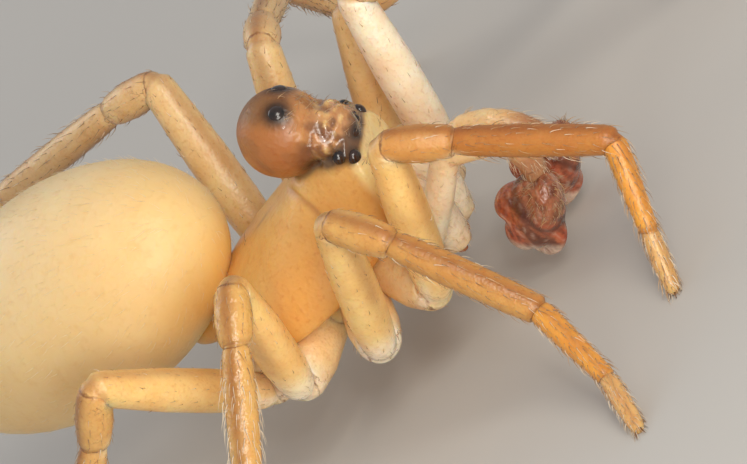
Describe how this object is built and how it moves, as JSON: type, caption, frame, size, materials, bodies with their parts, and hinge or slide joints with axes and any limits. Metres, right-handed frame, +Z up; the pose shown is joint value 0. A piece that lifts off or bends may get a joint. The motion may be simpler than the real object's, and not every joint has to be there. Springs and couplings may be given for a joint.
{
  "type": "peponocranium spider model",
  "caption": "Standing money spider with a globe-shaped lobe on its head, eight eyes, long bent legs, palps with round bulbs and an oval abdomen.",
  "frame": {"origin": "middle of the bounding box at the floor under the feet", "axes": "+Z up from the floor, -Y the way the head faces, +X the animal's left"},
  "size_m": [0.0024, 0.0028, 0.001],
  "materials": {
    "carapace": "glossy amber cuticle",
    "lobe": "glossy translucent brown cuticle",
    "eye": "glossy black lens",
    "abdomen": "soft satin cream skin",
    "leg": "pale translucent cuticle with fine hairs",
    "tibia": "orange translucent cuticle with fine hairs",
    "mouthparts": "pale glossy cuticle",
    "bulb": "glossy red-brown"
  },
  "bodies": {
    "root": {"abdomen": "abdomen", "carapace": "carapace", "chelicera_left": "mouthparts", "chelicera_right": "mouthparts", "eye_front_middle_left": "eye", "eye_front_middle_right": "eye", "eye_front_side_left": "eye", "eye_front_side_right": "eye", "eye_rear_middle_left": "eye", "eye_rear_middle_right": "eye", "eye_rear_side_left": "eye", "eye_rear_side_right": "eye", "head_lobe": "lobe", "leg_left_1_femur": "leg", "leg_left_1_foot": "leg", "leg_left_1_tibia": "tibia", "leg_left_2_femur": "leg", "leg_left_2_foot": "leg", "leg_left_2_tibia": "tibia", "leg_left_3_femur": "leg", "leg_left_3_foot": "leg", "leg_left_3_tibia": "tibia", "leg_left_4_femur": "leg", "leg_left_4_foot": "leg", "leg_left_4_tibia": "tibia", "leg_right_1_femur": "leg", "leg_right_1_foot": "leg", "leg_right_1_tibia": "tibia", "leg_right_2_femur": "leg", "leg_right_2_foot": "leg", "leg_right_2_tibia": "tibia", "leg_right_3_femur": "leg", "leg_right_3_foot": "leg", "leg_right_3_tibia": "tibia", "leg_right_4_femur": "leg", "leg_right_4_foot": "leg", "leg_right_4_tibia": "tibia", "lip_and_jaw_lobes": "mouthparts", "palp_bulb_left": "bulb", "palp_bulb_right": "bulb", "palp_left": "mouthparts", "palp_right": "mouthparts", "pedicel": "carapace", "spinnerets": "abdomen", "sternum": "mouthparts"}
  },
  "joints": []
}
